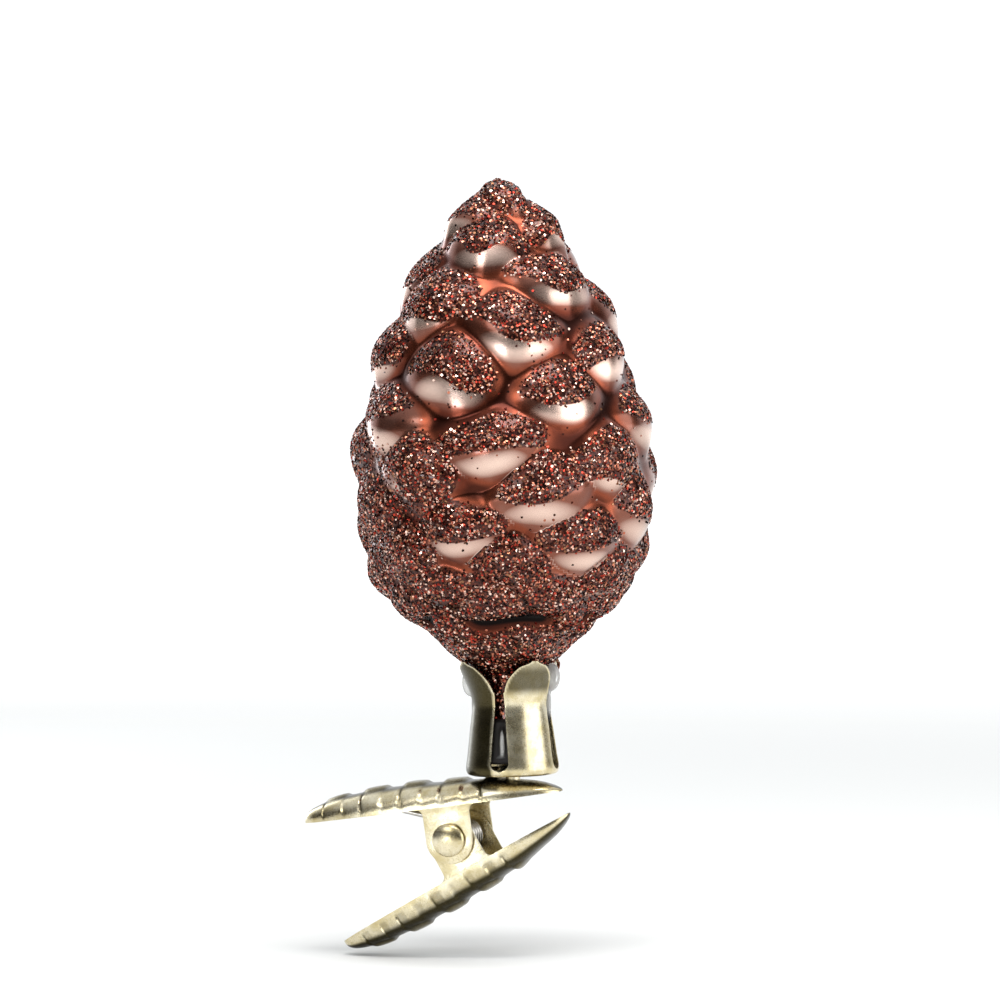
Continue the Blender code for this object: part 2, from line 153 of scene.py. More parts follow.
class Output:
    """A node's output. Arithmetic on it adds Math nodes to the finish that it belongs to."""

    def __init__(self, finish, socket):
        self.finish = finish
        self.socket = socket

    def math(self, operation, *values):
        return self.finish.node("ShaderNodeMath", {"operation": operation}, *values)

    __add__ = __radd__ = operator("ADD")
    __mul__ = __rmul__ = operator("MULTIPLY")
    __sub__, __rsub__ = operator("SUBTRACT"), operator("SUBTRACT", swapped=True)
    __truediv__, __pow__ = operator("DIVIDE"), operator("POWER")

    def clipped(self):
        return self.math("MINIMUM", self.math("MAXIMUM", self, 0.0), 1.0)

    def between(self, low, high):
        """0 below low, 1 above high and smooth between them."""
        settings = {"interpolation_type": "SMOOTHSTEP"}
        return self.finish.node("ShaderNodeMapRange", settings, self, low, high)


class Finish:
    """One material, with its Principled shader and a short way to add nodes."""

    def __init__(self, name, **constants):
        self.material = bpy.data.materials.new(name)
        self.material.use_nodes = True
        self.tree = self.material.node_tree
        self.shader = self.tree.nodes["Principled BSDF"]
        for socket, value in constants.items():
            self.shader.inputs[socket.replace("_", " ")].default_value = value

    def node(self, kind, settings=None, *values, output=0, **named):
        """Adds a node. Values go to its sockets in order, and named ones by their names."""
        feeds = dict(enumerate(values)) | {key.replace("_", " "): value for key, value in named.items()}
        return Output(self, add_node(self.tree, kind, feeds, **(settings or {}))[output])

    def set(self, **sockets):
        """Links outputs to the Principled shader's own sockets."""
        for key, value in sockets.items():
            self.tree.links.new(value.socket, self.shader.inputs[key.replace("_", " ")])

    def place(self):
        return self.node("ShaderNodeTexCoord", output="Object")

    def noise(self, size, detail=2.0, roughness=0.5):
        """Smooth noise from 0 to 1 whose lumps are about as wide as size."""
        return self.node("ShaderNodeTexNoise", None, Vector=self.place(), Scale=1.0 / size,
                         Detail=detail, Roughness=roughness)

    def attribute(self, name):
        return self.node("ShaderNodeAttribute", {"attribute_name": name}, output="Fac")

    def mix(self, factor, low, high):
        """A colour between low and high."""
        feeds = {0: factor, 6: low, 7: high}
        return Output(self, add_node(self.tree, "ShaderNodeMix", feeds, data_type="RGBA")[2])

    def bump(self, height, depth, strength=1.0):
        """Raises the surface by depth, in metres, where height is 1."""
        normal = self.node("ShaderNodeBump", None, Strength=strength, Distance=depth, Height=height)
        self.set(Normal=normal)


def rgb(text):
    """A colour as a shader takes it, from the six digits that a paint program shows."""
    parts = [int(text[i:i + 2], 16) / 255 for i in (0, 2, 4)]
    linear = [p / 12.92 if p <= 0.04045 else ((p + 0.055) / 1.055) ** 2.4 for p in parts]
    return (*linear, 1.0)


print("white as a shader takes it:", rgb("ffffff"))


# %% [markdown]
# Brass and metallic lacquer show what they reflect, so the studio matters as much as the paint. The
# floor is pale, and the room is bright behind the ornament and dark in front of it. Five soft boxes
# stand overhead, at the right, low at the left, in front and behind at the left, so the metal shows
# bright bands between dark ones.

# %% The studio
def add_light(name, place, size, power, colour=(1.0, 1.0, 1.0)):
    """A soft box that faces the middle of the ornament. size is its width and height."""
    light = bpy.data.lights.new(name, "AREA")
    light.shape = "RECTANGLE"
    light.size, light.size_y = size
    light.energy = power
    light.color = colour
    ob = put_in_scene(name, light)
    ob.location = place
    ob.rotation_mode = "QUATERNION"
    ob.rotation_quaternion = (Vector(place) - middle).to_track_quat("Z", "Y")


middle = (solid_box[0] + solid_box[1]) / 2
world = bpy.data.worlds.new("room")
world.use_nodes = True
room = world.node_tree


def room_glow(value, low, high, dark, bright):
    """The room's strength: dark where the value is below low, bright above high, smooth between."""
    feeds = dict(enumerate((value, low, high, dark, bright)))
    return add_node(room, "ShaderNodeMapRange", feeds, interpolation_type="SMOOTHSTEP")[0]


way = add_node(room, "ShaderNodeTexCoord", {})["Generated"]
upward = add_node(room, "ShaderNodeSeparateXYZ", {0: way})["Z"]
height_glow = room_glow(upward, 0.25, 0.95, 0.05, 0.9)
behind = (-math.sin(CAMERA_AZIMUTH), math.cos(CAMERA_AZIMUTH), 0.0)
facing = add_node(room, "ShaderNodeVectorMath", {0: way, 1: behind}, operation="DOT_PRODUCT")["Value"]
back_glow = room_glow(facing, 0.2, 0.6, 0.0, 1.15)
strength = add_node(room, "ShaderNodeMath", {0: height_glow, 1: back_glow}, operation="MAXIMUM")[0]
room.nodes["Background"].inputs["Color"].default_value = (0.95, 0.975, 1.0, 1.0)
room.links.new(strength, room.nodes["Background"].inputs["Strength"])
bpy.context.scene.world = world
bpy.context.scene.view_settings.view_transform = "Standard"

# name, place in metres, width and height, watts, colour
add_light("top_box", (0.1, -0.15, 0.6), (0.4, 0.3), 3.5)
add_light("right_box", (0.56, -0.08, 0.12), (0.56, 0.42), 1.9, (0.98, 0.99, 1.0))
add_light("low_left_box", (-0.24, -0.78, -0.02), (0.24, 0.1), 1.15, (0.9, 0.95, 1.0))
add_light("front_box", (-0.2, -0.62, 0.44), (0.3, 0.25), 1.0)
add_light("left_rim", (-0.45, 0.36, 0.14), (0.12, 0.5), 0.7, (0.9, 0.95, 1.0))


def mesh_of(name, bm):
    """The mesh of what bmesh has made."""
    mesh = bpy.data.meshes.new(name)
    bm.to_mesh(mesh)
    bm.free()
    return mesh


FLOOR_GAP, FLOOR_RADIUS = 1.0 * MM, 5.0
FLOOR_GLOW = 0.25, 1.2  # how far out, in metres, the floor starts to glow and glows fully
floor_z = solid_box[0].z - FLOOR_GAP
bm = bmesh.new()
bmesh.ops.create_circle(bm, cap_ends=True, segments=96, radius=FLOOR_RADIUS,
                        matrix=Matrix.Translation((0.0, 0.0, floor_z)))
floor = put_in_scene("pale_floor", mesh_of("pale_floor", bm))
paper = Finish("pale_paper", Base_Color=rgb("e2e2e0"), Roughness=0.9, Emission_Strength=0.7)
distance = paper.node("ShaderNodeVectorMath", {"operation": "LENGTH"}, paper.place(), output="Value")
paper.set(Emission_Color=paper.mix(distance.between(*FLOOR_GLOW), rgb("000000"), rgb("ffffff")))
floor.data.materials.append(paper.material)
print("the floor is at z, mm:", round(floor_z / MM, 1))

# %% [markdown]
# The cone was blown into a mould. Its body is a turned profile, and the scales stand out of it.
# They follow the rule of real cones: each scale is turned from the last by the golden angle and
# sits a little higher. The grid of points is worked out with numpy, because each of its points
# needs the distance to every scale.

# %% The profile of the glass
LEAN = math.radians(1.5)
CUP_X, CUP_FLOOR_RADIUS = 9.1 * MM, 6.6 * MM
GLASS_PROFILE = [(4.4, 6.0), (4.4, 13.5), (5.2, 16.6), (8.4, 19.5), (12.8, 23.4), (18.6, 29.4),
                 (22.0, 35.3), (24.0, 45.0), (23.7, 56.0), (21.3, 64.0), (19.2, 72.0), (15.4, 80.0),
                 (10.0, 88.0), (7.0, 93.4), (3.6, 96.6), (0.0, 98.0)]  # radius, height, in mm


def smooth_curve(points, steps):
    """A Catmull-Rom curve through the points."""
    ends = [2 * np.array(points[0]) - points[1], 2 * np.array(points[-1]) - points[-2]]
    pts = np.array([ends[0], *points, ends[1]])
    out = []
    for a, b, c, d in zip(pts, pts[1:], pts[2:], pts[3:]):
        for step in range(steps):
            t = step / steps
            out.append(b + 0.5 * t * (c - a + t * (2 * a - 5 * b + 4 * c - d + t * (3 * (b - c) + d - a))))
    out.append(pts[-2])
    return np.array(out)


line = smooth_curve(GLASS_PROFILE, 12) * MM
radii, heights = line[:, 0], line[:, 1]
lengths = np.concatenate([[0.0], np.cumsum(np.hypot(*np.diff(line, axis=0).T))])
cup_low = Vector(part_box("holder_cup")[0])
cup_base = Vector((PIVOT.x + CUP_X, 0.0, cup_low.z + CUP_FLOOR_RADIUS * math.sin(LEAN)))
to_world = Matrix.Translation(cup_base) @ Matrix.Rotation(-LEAN, 4, "Y")
print("profile length, mm:", round(lengths[-1] / MM, 1), "cup base, mm:",
      [round(c / MM, 2) for c in cup_base])

# %% [markdown]
# Where there is less room round the cone, near its foot and its tip, the scales are smaller. Each has
# a small random shift, slant and height of its own, drawn from a fixed seed. Where two scales meet, a
# smooth maximum of their heights leaves a soft groove.

# %% The scales and how far they stand out
SCALE_FIRST, SCALE_LAST = -22, 47
GOLDEN_ANGLE = math.radians(137.5)
SCALE_ZERO_ANGLE = math.radians(-71.0)
SCALE_ZERO_HEIGHT, SCALE_RISE, SCALE_RISE_GAIN = 35.2 * MM, 0.7735 * MM, 0.01093 * MM
SCALE_HALF_WIDTH, SCALE_HALF_HEIGHT = 12.0 * MM, 7.9 * MM
SCALE_CROWN, SCALE_DEPTH, SCALE_TILT, GROOVE = 1.3 * MM, 2.9 * MM, 0.5 * MM, -1.2 * MM
ROUNDING = 0.2 * MM  # how softly two scales meet in their groove
PLACE_JITTER, SLANT_JITTER, CROWN_JITTER = 0.35 * MM, 0.14, 0.1
BRUSH_JITTER, BRUSH_SLANT = 0.13, 0.25
SMALLEST_SCALE, LARGEST_SCALE = 0.55, 1.1
rng = np.random.default_rng(31)

k = np.arange(SCALE_FIRST, SCALE_LAST + 1)
scale_height = SCALE_ZERO_HEIGHT + SCALE_RISE * k + SCALE_RISE_GAIN * k * k
scale_place = np.interp(scale_height, heights, lengths)
scale_room = np.gradient(scale_place) * np.interp(scale_height, heights, radii)
scale_size = np.clip(np.sqrt(scale_room / np.median(scale_room)), SMALLEST_SCALE, LARGEST_SCALE)
scale_angle = SCALE_ZERO_ANGLE - GOLDEN_ANGLE * k
scale_place = scale_place + rng.normal(0.0, PLACE_JITTER, len(k))
scale_slant = rng.normal(0.0, SLANT_JITTER, len(k))
scale_brushed = rng.normal(0.0, BRUSH_JITTER, len(k))  # how far down its glitter goes
brushed_slant = rng.normal(0.0, BRUSH_SLANT, len(k))
scale_crown = SCALE_CROWN * (0.4 + 0.6 * scale_size) * (1.0 + rng.normal(0.0, CROWN_JITTER, len(k)))
print("scales:", len(k))


def scales_at(angle, length, radius):
    """The relief at points of the profile, with the place of each on its own scale: across from
    -1 to 1, along from -1 at the lower edge to 1, and that scale's number."""
    total = np.exp(np.full(angle.shape, GROOVE) / ROUNDING)
    best = np.full(angle.shape, -1.0)
    own = [np.zeros(angle.shape) for _ in range(3)]
    for number in range(len(k)):
        turn = (angle - scale_angle[number] + math.pi) % (2 * math.pi) - math.pi
        across = radius * turn / (SCALE_HALF_WIDTH * scale_size[number])
        along = (length - scale_place[number]) / (SCALE_HALF_HEIGHT * scale_size[number])
        along = along + scale_slant[number] * across
        diamond = np.sqrt(across ** 2 + 0.004) + np.sqrt(along ** 2 + 0.04)  # with round corners
        reach = 0.5 * np.hypot(across, along) + 0.5 * diamond
        fall = SCALE_DEPTH * scale_size[number] * (0.25 * reach + 0.75 * reach ** 2)
        lift = scale_crown[number] - fall - SCALE_TILT * scale_size[number] * along
        total += np.exp(np.clip(lift / ROUNDING, -30.0, 30.0))
        nearer = lift > best
        best = np.where(nearer, lift, best)
        for store, value in zip(own, (across, along, number)):
            store[nearer] = np.broadcast_to(value, angle.shape)[nearer]
    return ROUNDING * np.log(total), own


# %% [markdown]
# Each piece ends as a plain mesh. One helper makes a mesh of a grid of points, and one bakes an
# object's modifiers. Another puts a piece in the scene, says which body it rides on and hides the
# solids that it stands for.

# %% Helpers for pieces
def mesh_from_grid(name, rows, wrap, top=None, foot=None):
    """A mesh from rows of points, closed round when wrapped, with a point at each end if given."""
    count = rows.shape[1]
    verts = rows.reshape(-1, 3)
    low = (np.arange(len(rows) - 1)[:, None] * count + np.arange(count if wrap else count - 1)).ravel()
    step = np.where((low + 1) % count == 0, 1 - count, 1) if wrap else 1
    faces = np.stack([low, low + step, low + step + count, low + count], axis=1).tolist()
    extra = []
    for point, first, order in ((foot, 0, -1), (top, (len(rows) - 1) * count, 1)):
        if point is None:
            continue
        tip = len(verts) + len(extra)
        extra.append(point)
        for i in range(count):
            pair = [first + i, first + (i + 1) % count]
            faces.append([*pair[::order], tip])
    if extra:
        verts = np.vstack([verts, extra])
    mesh = bpy.data.meshes.new(name)
    mesh.from_pydata(verts.tolist(), [], faces)
    mesh.update()
    return mesh


def baked(ob):
    """The plain mesh of an object with its modifiers, in place of the object."""
    mesh = bpy.data.meshes.new_from_object(ob.evaluated_get(bpy.context.evaluated_depsgraph_get()))
    mesh.transform(ob.matrix_world)
    bpy.data.objects.remove(ob)
    return mesh


def add_piece(name, mesh, body, *nodes, slot=None, finish=None):
    """Links a finished mesh, says what it rides on and hides the solids that it stands for."""
    ob = put_in_scene(name, mesh)
    if finish is not None:
        mesh.materials.clear()
        mesh.materials.append(finish.material)
    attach(ob, body)
    if nodes:
        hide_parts(*nodes)


def triangles(mesh):
    return len(mesh.loops) - 2 * len(mesh.polygons)


def set_attribute(mesh, name, values):
    attribute = mesh.attributes.new(name, "FLOAT", "POINT")
    attribute.data.foreach_set("value", np.asarray(values, dtype=np.float32))


def smoothstep(low, high, x):
    t = np.clip((x - low) / (high - low), 0.0, 1.0)
    return t * t * (3.0 - 2.0 * t)


def plateau(x, up, down):
    """0, smoothly up to 1 over one stretch, and down to 0 again over another."""
    return smoothstep(*up, x) * (1.0 - smoothstep(*down, x))


print("a smooth step, a quarter of the way:", smoothstep(0.0, 1.0, 0.25))

# %% [markdown]
# The grid has a row for each step up the profile and a column for each step round it. Under the
# lowest scales the glass is drawn in to short folds, which the lacquer darkens with painted shade.

# %% The outside of the glass
GLASS_SIDES, GLASS_ROWS = 320, 252
NECK_ROWS, NECK_SHARE, TIP_SHARE = 14, 0.12, 0.997  # few rows for the plain neck
GLITTER_SIDE = math.radians(-165.0)  # the fuller side, where the most glitter is brushed on
BULGE, BULGE_HEIGHT, BULGE_REACH = 1.0 * MM, 28.0, 8.0  # the last two in mm up the cone
FOLD_FRONT = math.radians(-73.0)  # where the widest fold lies under the lowest scales
FOLD_HEIGHT, FOLD_WAVE, FOLD_WIDTH, FOLD_DEPTH = 24.9 * MM, 0.35 * MM, 1.5 * MM, 1.7 * MM
WARP, UNEVENNESS = 0.6 * MM, 0.12 * MM  # of the scales' outlines, and of their tops
TIP_SLIMMING = 0.24


def wobble(angle, height, seed, waves=9, size=9.0 * MM):
    """Smooth noise of about -1 to 1 round the cone, as a sum of a few waves."""
    draw = np.random.default_rng(seed)
    total = np.zeros(angle.shape)
    for _ in range(waves):
        turns = draw.integers(1, 9)
        rise = draw.normal(0.0, 1.0) / size
        total += np.sin(turns * angle + rise * height + draw.uniform(0, 2 * math.pi))
    return total / math.sqrt(waves)


def profile_at(length):
    """The profile's radius and height at lengths along it."""
    return np.interp(length, lengths, radii), np.interp(length, lengths, heights)


neck_share = np.linspace(0.0, NECK_SHARE, NECK_ROWS, endpoint=False)
body_share = np.linspace(NECK_SHARE, TIP_SHARE, GLASS_ROWS - NECK_ROWS)
row_length = np.concatenate([neck_share, body_share]) * lengths[-1]
angle, length = np.meshgrid(np.arange(GLASS_SIDES) * 2 * math.pi / GLASS_SIDES, row_length)
radius, height = profile_at(length)
above, below = profile_at(length + 0.5 * MM), profile_at(length - 0.5 * MM)
slope = np.arctan2(above[0] - below[0], above[1] - below[1])
bend_round = WARP * wobble(angle, length, 21) / np.maximum(radius, 8.0 * MM)
bend_up = WARP * wobble(angle, length, 22)
relief, (across, along, number) = scales_at(angle + bend_round, length + bend_up, radius)
number = number.astype(int)
fade = smoothstep(20.0 * MM, 25.0 * MM, height) * smoothstep(0.0, 9.0 * MM, lengths[-1] - length)
past_front = angle - FOLD_FRONT
long_folds = smoothstep(0.1, 0.75, 0.5 + 0.5 * np.cos(3.0 * past_front))
short_folds = smoothstep(0.55, 0.9, 0.5 + 0.5 * np.cos(6.0 * past_front))
fold_height = FOLD_HEIGHT + FOLD_WAVE * wobble(angle, 0.3 * length, 23)
fold = np.maximum(long_folds, short_folds) * np.exp(-((height - fold_height) / FOLD_WIDTH) ** 2)
relief = fade * (relief + UNEVENNESS * wobble(angle, length, 5)) * (1.0 - fold) - FOLD_DEPTH * fold
fuller = np.exp(-((height / MM - BULGE_HEIGHT) / BULGE_REACH) ** 2)
fuller = fuller * smoothstep(0.0, 1.0, np.cos(angle - GLITTER_SIDE))
slimmer = 1.0 - TIP_SLIMMING * smoothstep(90.0, 94.5, height / MM)
out = radius * slimmer + BULGE * fuller + relief * np.cos(slope)
rise = height - relief * np.sin(slope)
rows = np.stack([out * np.cos(angle), out * np.sin(angle), rise], axis=2)
print("relief, mm:", round(relief.min() / MM, 2), "to", round(relief.max() / MM, 2))

# %% [markdown]
# The lowest rows turn in at the lip and run back up inside the neck, so the surface is closed. The
# relief and the place on the scale are kept on its points, for the finish and for the glitter.

# %% The lip and the mesh
lip = []  # each ring is so far in from the neck's first row and so far above it, in mm
for inset, lift in ((0.25, -0.3), (0.6, -0.3), (0.8, 0.1), (0.8, 2.5), (0.8, 6.0)):
    ring = rows[0].copy()
    ring[:, :2] *= (radii[0] - inset * MM) / radii[0]
    ring[:, 2] = heights[0] + lift * MM
    lip.insert(0, ring)
rows = np.concatenate([np.array(lip), rows])
cap = (0.0, 0.0, heights[-1] + 0.05 * MM)
plug = (0.0, 0.0, heights[0] + 6.0 * MM)
glass_mesh = mesh_from_grid("cone_glass", rows, wrap=True, top=cap, foot=plug)


def keep_on_glass(name, values):
    """Keeps a value on each point of the rows. The lip's points and the two end points get 0."""
    lip_values = [0.0] * (len(lip) * GLASS_SIDES)
    set_attribute(glass_mesh, name, lip_values + values.ravel().tolist() + [0.0, 0.0])


keep_on_glass("relief", relief / MM)
keep_on_glass("across", across)
keep_on_glass("along", along)
keep_on_glass("height", height / MM)
glass_mesh.transform(to_world)
glass_mesh.shade_smooth()
print("glass triangles:", triangles(glass_mesh))

# %% [markdown]
# The glitter was scattered on wet glue that was brushed over the crowns of the scales, and over the
# whole foot and one side of the cone. So a mask is worked out from each point's place on its scale:
# it is full on the crown, and ends at the smooth lower facet and in the grooves.

# %% Where the glitter lies
BRUSH_END, BRUSH_DROP = -0.31, 0.1  # where on a scale the glitter ends, and how much lower at the foot
BARE_GROOVE, BARE_FULL_GROOVE = (-0.66, -0.44), (-1.1, -0.75)  # relief in mm: bare below, full above
FOOT_TOP, SIDE_TOP, NECK_TOP = (26.0, 31.0), (48.0, 56.0), (9.0, 10.5)  # heights in mm
LEAST_MASK = 0.01  # a few flakes lie everywhere

speck = wobble(angle, length, 11, waves=14, size=3.0 * MM)
line = along + scale_brushed[number] + brushed_slant[number] * across + 0.16 * speck - 0.3 * across ** 2
brush_end = BRUSH_END - BRUSH_DROP * (1.0 - smoothstep(38.0, 66.0, height / MM))
brushed = smoothstep(-0.06, 0.06, line - brush_end) * smoothstep(*BARE_GROOVE, relief / MM + 0.14 * speck)
brushed = np.maximum(brushed, smoothstep(92.0, 93.5, height / MM + speck))
foot = 1.0 - smoothstep(*FOOT_TOP, height / MM + 2.0 * speck)
side = smoothstep(0.6, 0.85, np.cos(angle - GLITTER_SIDE) + 0.08 * speck)
side *= 1.0 - smoothstep(*SIDE_TOP, height / MM + 2.0 * speck)
full = np.maximum(foot, side) * smoothstep(*BARE_FULL_GROOVE, relief / MM + 0.1 * speck)
mask = np.maximum(brushed, full) * smoothstep(*NECK_TOP, height / MM + 0.4 * speck)
mask = np.maximum(mask, LEAST_MASK)
keep_on_glass("glitter", mask)
print("share of the glass under glitter:", round(float(np.average(mask, weights=out)), 2))

# %% [markdown]
# The lacquer is a metallic copper brown under a clear coat. The grooves get painted shade, darker and
# redder, with a painted copper glow, and each smooth facet has a painted pale highlight. Under the
# glitter it has a bed of the finest flakes: each cell of a cell noise is one of them, with a tone of
# its own. The masks that were kept on the points say where each of these is.

# %% The lacquer
# facet tones away from and in the painted highlight; groove tones of the painted shade and copper glow
FACET_TONES, GROOVE_TONES = (rgb("7a4534"), rgb("ebcdbd")), (rgb("542316"), rgb("88442e"))
DEEP_TONE, DEEPEST_TONE = rgb("2e110a"), rgb("0a0403")
BED_TONES, BED_CELL = (rgb("140705"), rgb("5e2a1e")), 0.3 * MM
# where the painted highlight lies on each smooth facet
GLEAM_BELOW, GLEAM_LONG, GLEAM_WIDE = 0.45, 0.26, 0.5  # as shares of a half scale

lacquer = Finish("copper_brown_lacquer", Metallic=0.9, Coat_Roughness=0.08)
depth = lacquer.attribute("relief")
bed = lacquer.attribute("glitter").between(0.2, 0.6)
cloud = lacquer.noise(6.0 * MM, 3.0)
# painted shade in the grooves, darkest at their floor
groove = 1.0 - depth.between(-0.8, -0.1)
deep = 1.0 - depth.between(-1.2, -0.7)
# painted highlight: paler in the middle of each smooth lower facet, a little stronger higher up the cone
gleam = 1.0 - ((lacquer.attribute("along") + GLEAM_BELOW) / GLEAM_LONG) ** 2
gleam = gleam - (lacquer.attribute("across") / GLEAM_WIDE) ** 2
gleam = gleam.clipped() * (0.8 + 0.2 * lacquer.attribute("height").between(40.0, 60.0))
facet_colour = lacquer.mix((gleam + 0.4 * (cloud - 0.5)).clipped(), *FACET_TONES)
groove_colour = lacquer.mix(cloud.between(0.35, 0.65), *GROOVE_TONES)
smooth_colour = lacquer.mix((groove + (cloud - 0.5) * 0.3).clipped(), facet_colour, groove_colour)
smooth_colour = lacquer.mix(deep * 0.85, smooth_colour, DEEP_TONE)
smooth_colour = lacquer.mix(1.0 - depth.between(-1.55, -1.25), smooth_colour, DEEPEST_TONE)
spot = lacquer.node("ShaderNodeTexVoronoi", None, output="Color", Scale=1.0 / BED_CELL,
                    Vector=lacquer.place())
bed_tone = lacquer.node("ShaderNodeSeparateColor", None, Color=spot)
bed_colour = lacquer.mix(bed_tone, *BED_TONES)
lacquer.set(Base_Color=lacquer.mix(bed, smooth_colour, bed_colour),
            Roughness=0.2 + 0.08 * cloud + 0.1 * bed, Coat_Weight=0.4 * (1.0 - groove))
lacquer.bump(lacquer.noise(1.6 * MM, 2.0), 0.05 * MM, 0.25)
add_piece("cone_glass", glass_mesh, "holder", "glass_cone", slot="lacquered_glass", finish=lacquer)
print("the lacquer has", len(lacquer.tree.nodes), "nodes")

# %% [markdown]
# Each flake is a six-sided chip, flat on top, with its point sunk in the lacquer, so it is closed and
# costs ten triangles. Geometry Nodes scatter the chips, tilt each a little so that it catches the
# light on its own, and keep a random tone on each. A tree is run once for each colour of foil.

# %% The tree that scatters the flakes
FLAKE_RADIUS = 0.215 * MM
FLAKE_TILT = math.radians(34.0)
FLAKE_SPREAD = 0.78, 1.18  # the smallest and the widest flake, by FLAKE_RADIUS
CHIP_SIDES, CHIP_DEPTH, CHIP_SINK = 6, 0.55, 0.2  # the last two by the chip's radius
TONE_SEED = 3


def glitter_tree(name, finish):
    """A node group that turns the glass into a layer of flakes."""
    tree = bpy.data.node_groups.new(name, "GeometryNodeTree")
    names = {}
    for label, kind in (("Geometry", "Geometry"), ("Density", "Float"), ("Radius", "Float"),
                        ("Tilt", "Float"), ("Seed", "Int")):
        socket = tree.interface.new_socket(label, in_out="INPUT", socket_type=f"NodeSocket{kind}")
        names[label] = socket.identifier
    tree.interface.new_socket("Geometry", in_out="OUTPUT", socket_type="NodeSocketGeometry")

    def add(kind, feeds, **settings):
        return add_node(tree, kind, feeds, **settings)

    start = add("NodeGroupInput", {})
    brushed_on = add("GeometryNodeInputNamedAttribute", {"Name": "glitter"}, data_type="FLOAT")
    amount = add("ShaderNodeMath", {0: start["Density"], 1: brushed_on["Attribute"]}, operation="MULTIPLY")
    points = add("GeometryNodeDistributePointsOnFaces",
                 {"Mesh": start["Geometry"], "Density": amount[0], "Seed": start["Seed"]})
    chip = add("GeometryNodeMeshCone", {"Vertices": CHIP_SIDES, "Radius Top": 1.0, "Radius Bottom": 0.0,
                                        "Depth": CHIP_DEPTH})
    sunk = add("GeometryNodeTransform", {"Geometry": chip["Mesh"], "Translation": (0.0, 0.0, -CHIP_SINK)})
    lean = add("ShaderNodeCombineXYZ", {"X": start["Tilt"], "Y": start["Tilt"], "Z": math.pi})
    other_way = add("ShaderNodeVectorMath", {0: lean[0], "Scale": -1.0}, operation="SCALE")
    turn = add("FunctionNodeRandomValue", {"Min": other_way[0], "Max": lean[0], "Seed": start["Seed"]},
               data_type="FLOAT_VECTOR")
    tilted = add("FunctionNodeRotateRotation",
                 {"Rotation": points["Rotation"], "Rotate By": turn["Value"]}, rotation_space="LOCAL")
    spread = add("FunctionNodeRandomValue", {2: FLAKE_SPREAD[0], 3: FLAKE_SPREAD[1]}, data_type="FLOAT")
    wide = add("ShaderNodeMath", {0: spread[1], 1: start["Radius"]}, operation="MULTIPLY")
    flakes = add("GeometryNodeInstanceOnPoints",
                 {"Points": points["Points"], "Instance": sunk["Geometry"],
                  "Rotation": tilted["Rotation"], "Scale": wide[0]})
    tone = add("FunctionNodeRandomValue", {"Seed": TONE_SEED}, data_type="FLOAT")
    toned = add("GeometryNodeStoreNamedAttribute",
                {"Geometry": flakes["Instances"], "Name": "tone", "Value": tone[1]},
                data_type="FLOAT", domain="INSTANCE")
    real = add("GeometryNodeRealizeInstances", {"Geometry": toned["Geometry"]})
    dressed = add("GeometryNodeSetMaterial", {"Geometry": real["Geometry"], "Material": finish.material})
    add("NodeGroupOutput", {"Geometry": dressed["Geometry"]})
    return tree, names


def run_nodes(mesh, tree, inputs):
    """The plain mesh that a node group makes of a mesh."""
    ob = put_in_scene("source", mesh)
    modifier = ob.modifiers.new("nodes", "NODES")
    modifier.node_group = tree
    for identifier, value in inputs.items():
        modifier[identifier] = value
    return baked(ob)


print("flake radius, mm:", round(FLAKE_RADIUS / MM, 3))

# %% [markdown]
# Five foils are mixed: mostly copper and a dark umber, with pale rose, red and bronze among them.
# Each has its own share of the flakes, and its flakes run from a dark tone to a light one. What was
# kept on the glass's points is taken off the flakes again, because they don't use it.

# %% The foils and their flakes
FLAKES_PER_SQUARE_MM = 8.6
GLITTER_SEED = 7
FOILS = {  # share of the flakes, dark tone, light tone
    "copper": (0.29, "683020", "c67a60"),
    "umber": (0.29, "120907", "3c1c16"),
    "rose": (0.17, "a06a58", "ffdccb"),
    "red": (0.16, "64170f", "b43c2c"),
    "bronze": (0.09, "54301f", "a87858"),
}
for index, (name, (share_of_flakes, dark, light)) in enumerate(FOILS.items()):
    foil = Finish(f"{name}_foil", Metallic=0.9, Roughness=0.24)
    foil.set(Base_Color=foil.mix(foil.attribute("tone"), rgb(dark), rgb(light)))
    tree, names = glitter_tree(f"scatter_{name}", foil)
    values = {names["Density"]: FLAKES_PER_SQUARE_MM * share_of_flakes / MM ** 2,
              names["Radius"]: FLAKE_RADIUS, names["Tilt"]: FLAKE_TILT, names["Seed"]: GLITTER_SEED + index}
    flakes = run_nodes(glass_mesh, tree, values)
    for extra_name in ("relief", "across", "along", "height", "glitter"):
        if extra_name in flakes.attributes:
            flakes.attributes.remove(flakes.attributes[extra_name])
    add_piece(f"glitter_{name}", flakes, "holder", slot="lacquered_glass")
    chips = len(flakes.polygons) // (CHIP_SIDES + 1)
    print(name, "flakes:", chips, "triangles:", triangles(flakes))

# %% [markdown]
# The clip is stamped from one sheet of brass. Each jaw is a narrow bowl in the shape of a leaf. Its
# outline and its back follow superellipses, and lobes like small scales are pressed into it, with a
# crease between each pair. Both jaws come from one function, because the real ones come from one
# die, and the lower one is the upper one turned over.

